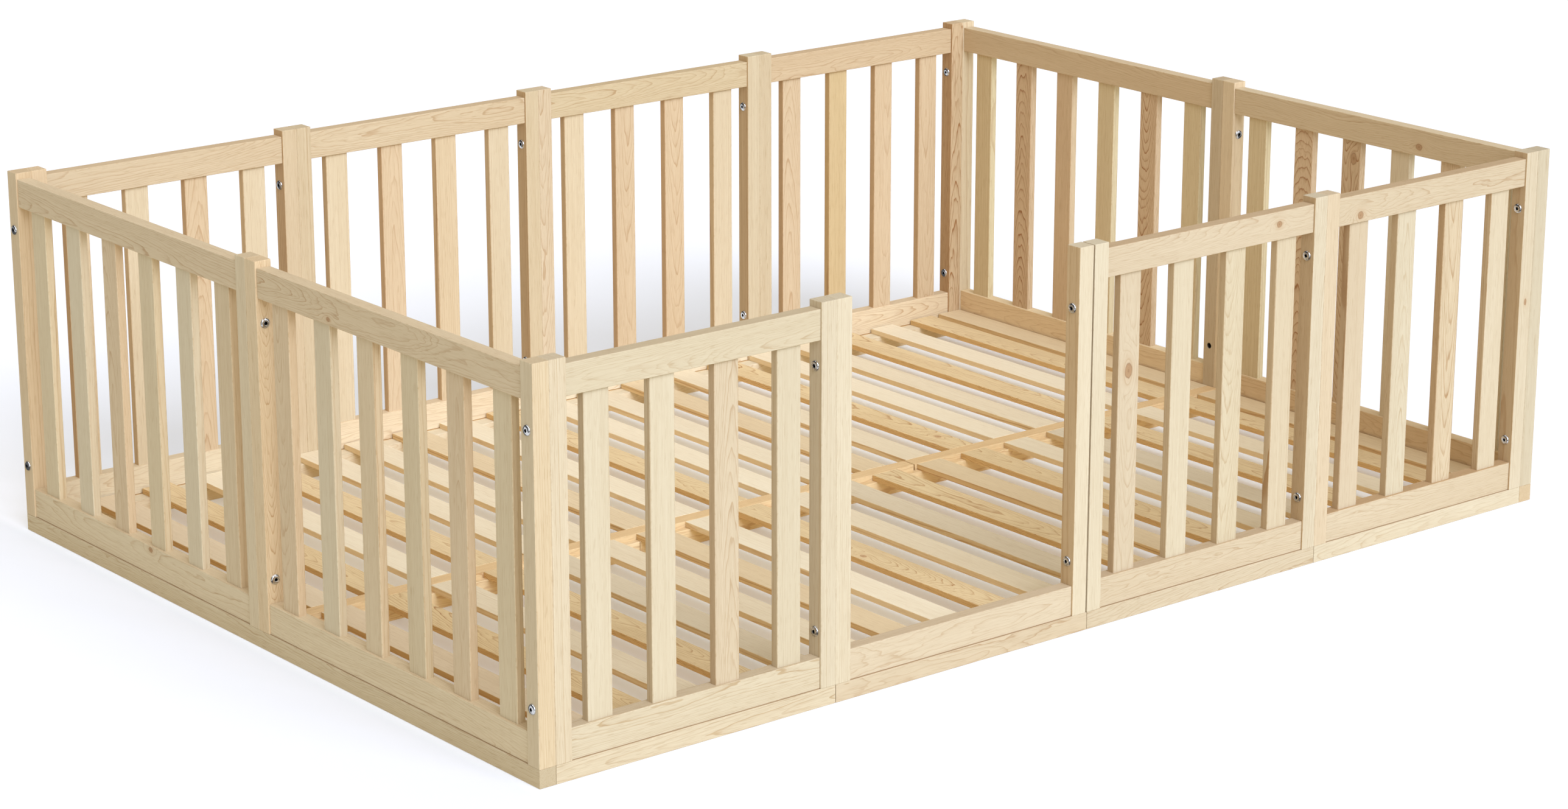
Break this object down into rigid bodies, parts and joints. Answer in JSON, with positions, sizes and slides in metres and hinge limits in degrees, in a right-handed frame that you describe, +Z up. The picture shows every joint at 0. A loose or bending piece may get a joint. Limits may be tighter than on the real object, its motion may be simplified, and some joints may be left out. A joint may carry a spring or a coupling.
{
  "type": "wooden playpen with slatted floor",
  "caption": "Low rectangular pine playpen: bolted picket-fence panels on a plinth, an open entry bay in the front, and a slatted floor of loose slats on ledges and a centre beam.",
  "frame": {"origin": "on the floor, in the middle of the plan", "axes": "+X along the long side, +Y from the entry side to the back, +Z up"},
  "size_m": [2.059, 1.456, 0.608],
  "materials": {
    "pine": "planed, unfinished",
    "pine_slat": "planed, unfinished",
    "beech": "turned, unfinished",
    "bolt_chrome": "bright plated",
    "zinc_steel": "zinc plated"
  },
  "bodies": {
    "frame": {"back_1_bottom_rail": "pine", "back_1_pickets": "pine", "back_1_posts": "pine", "back_1_top_rail": "pine", "back_2_bottom_rail": "pine", "back_2_pickets": "pine", "back_2_posts": "pine", "back_2_top_rail": "pine", "back_3_bottom_rail": "pine", "back_3_pickets": "pine", "back_3_posts": "pine", "back_3_top_rail": "pine", "back_4_bottom_rail": "pine", "back_4_pickets": "pine", "back_4_posts": "pine", "back_4_top_rail": "pine", "back_plinth": "pine", "barrel_nuts": "zinc_steel", "bolts": "bolt_chrome", "centre_beam": "pine", "centre_ledges": "pine", "dowels": "beech", "entry_bottom_rail": "pine", "entry_posts": "pine", "front_1_bottom_rail": "pine", "front_1_pickets": "pine", "front_1_posts": "pine", "front_1_top_rail": "pine", "front_3_bottom_rail": "pine", "front_3_pickets": "pine", "front_3_posts": "pine", "front_3_top_rail": "pine", "front_4_bottom_rail": "pine", "front_4_pickets": "pine", "front_4_posts": "pine", "front_4_top_rail": "pine", "front_plinth": "pine", "ledge_screws": "zinc_steel", "left_1_bottom_rail": "pine", "left_1_pickets": "pine", "left_1_posts": "pine", "left_1_top_rail": "pine", "left_2_bottom_rail": "pine", "left_2_pickets": "pine", "left_2_posts": "pine", "left_2_top_rail": "pine", "left_plinth": "pine", "plinth_screws": "zinc_steel", "right_1_bottom_rail": "pine", "right_1_pickets": "pine", "right_1_posts": "pine", "right_1_top_rail": "pine", "right_2_bottom_rail": "pine", "right_2_pickets": "pine", "right_2_posts": "pine", "right_2_top_rail": "pine", "right_plinth": "pine", "side_ledges": "pine"},
    "front_slat_row": {"front_slats": "pine_slat"},
    "rear_slat_row": {"rear_slats": "pine_slat"}
  },
  "joints": [
    {"name": "front_slats_lift", "type": "slide", "parent": "frame", "child": "front_slat_row", "axis": [0, 0, 1], "range_m": [0, 0.62]},
    {"name": "rear_slats_lift", "type": "slide", "parent": "frame", "child": "rear_slat_row", "axis": [0, 0, 1], "range_m": [0, 0.62]}
  ]
}
